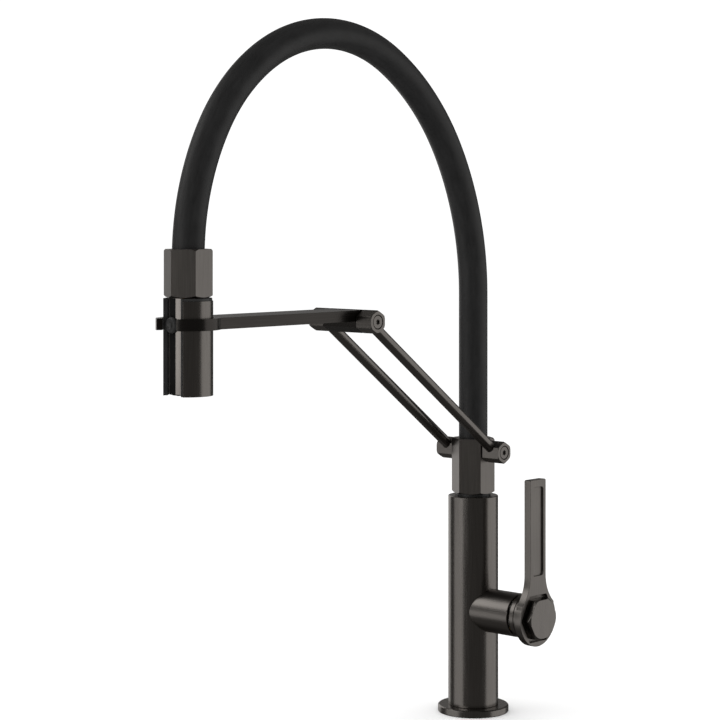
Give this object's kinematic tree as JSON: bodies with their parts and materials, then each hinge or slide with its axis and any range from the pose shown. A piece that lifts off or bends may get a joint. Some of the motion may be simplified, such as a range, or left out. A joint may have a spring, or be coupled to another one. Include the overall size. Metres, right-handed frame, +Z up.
{
  "type": "pull down kitchen faucet",
  "caption": "Kitchen mixer tap with a round column, side lever, arched rubber hose, and a spray head clipped to a folding twin-rod arm.",
  "frame": {"origin": "centre of the base's underside, on the deck", "axes": "+Z up along the column, -Y towards the spray head, +X towards the lever"},
  "size_m": [0.1042, 0.3583, 0.5454],
  "materials": {
    "gunmetal": "dark brushed gunmetal coating, satin",
    "rubber": "matte black rubber",
    "black_plastic": "satin black",
    "brass": "machined",
    "steel": "machined stainless",
    "white_plastic": "moulded",
    "clear_hose": "smooth inner hose"
  },
  "bodies": {
    "base": {"base_flange": "gunmetal", "base_seal": "rubber", "base_block": "brass", "riser_tubes": "brass", "valve_manifold": "brass", "column_tube": "gunmetal", "valve_housing": "gunmetal", "cartridge_body": "white_plastic", "fixed_disc": "white_plastic", "cartridge_nut": "brass", "swivel_bush": "black_plastic", "thrust_washer": "black_plastic"},
    "spindle": {"moving_disc": "white_plastic", "valve_spindle": "steel", "pivot_pin": "steel"},
    "handle": {"lever_hub": "gunmetal", "hub_trim_ring": "gunmetal", "lever": "gunmetal", "lever_bolt": "gunmetal"},
    "spout": {"swivel_stem": "brass", "stem_o_rings": "rubber", "retaining_ring": "steel", "hex_body": "gunmetal", "lower_pins": "steel", "lower_screws": "gunmetal", "lower_washers": "black_plastic", "hose_tail": "brass", "rubber_hose": "rubber", "water_hose": "clear_hose"},
    "link": {"lower_sleeve_left": "gunmetal", "lower_sleeve_right": "gunmetal", "link_rod_left": "gunmetal", "link_rod_right": "gunmetal", "upper_sleeve_left": "gunmetal", "upper_sleeve_right": "gunmetal", "lower_bushes": "black_plastic", "upper_bushes": "black_plastic"},
    "arm": {"clip_arm": "gunmetal", "clip_liner": "black_plastic", "upper_axle": "steel", "upper_screws": "gunmetal", "upper_washers": "black_plastic"},
    "collar": {"collar_nut": "gunmetal", "collar_tail": "brass"},
    "head": {"spray_shell": "gunmetal", "spray_liner": "black_plastic", "spray_tube": "gunmetal", "front_inlay": "black_plastic", "head_inlet": "brass", "diverter_guide": "black_plastic", "spray_face": "black_plastic", "nozzle_tips": "rubber", "button_spring": "steel"},
    "button": {"spray_button": "black_plastic"}
  },
  "joints": [
    {"name": "temperature", "type": "hinge", "parent": "base", "child": "spindle", "pos_m": [0.04935, 0, 0.0824], "axis": [1, 0, 0], "range_deg": [-50, 50]},
    {"name": "flow", "type": "hinge", "parent": "spindle", "child": "handle", "pos_m": [0.04935, 0, 0.0824], "axis": [0, 1, 0], "range_deg": [0, 7]},
    {"name": "swivel", "type": "hinge", "parent": "base", "child": "spout", "pos_m": [0, 0, 0.15], "axis": [0, 0, 1], "continuous": true},
    {"name": "link_lift", "type": "hinge", "parent": "spout", "child": "link", "pos_m": [0, 0, 0.2092], "axis": [-1, 0, 0], "range_deg": [-30, 25], "deforming": ["rubber_hose", "water_hose"]},
    {"name": "arm_tilt", "type": "hinge", "parent": "link", "child": "arm", "pos_m": [0, -0.1484, 0.3189], "axis": [-1, 0, 0], "range_deg": [-25, 25]},
    {"name": "pull_down", "type": "slide", "parent": "arm", "child": "collar", "axis": [0, 0, -1], "range_m": [0, 0.045]},
    {"name": "head_spin", "type": "hinge", "parent": "collar", "child": "head", "pos_m": [0, -0.30958, 0.345], "axis": [0, 0, 1], "continuous": true},
    {"name": "spray_press", "type": "slide", "parent": "head", "child": "button", "axis": [0.0698, 0.9976, 0], "range_m": [0, 0.0012], "stiffness_N_per_m": 400, "springref_m": -0.002, "deforming": ["button_spring"]}
  ]
}
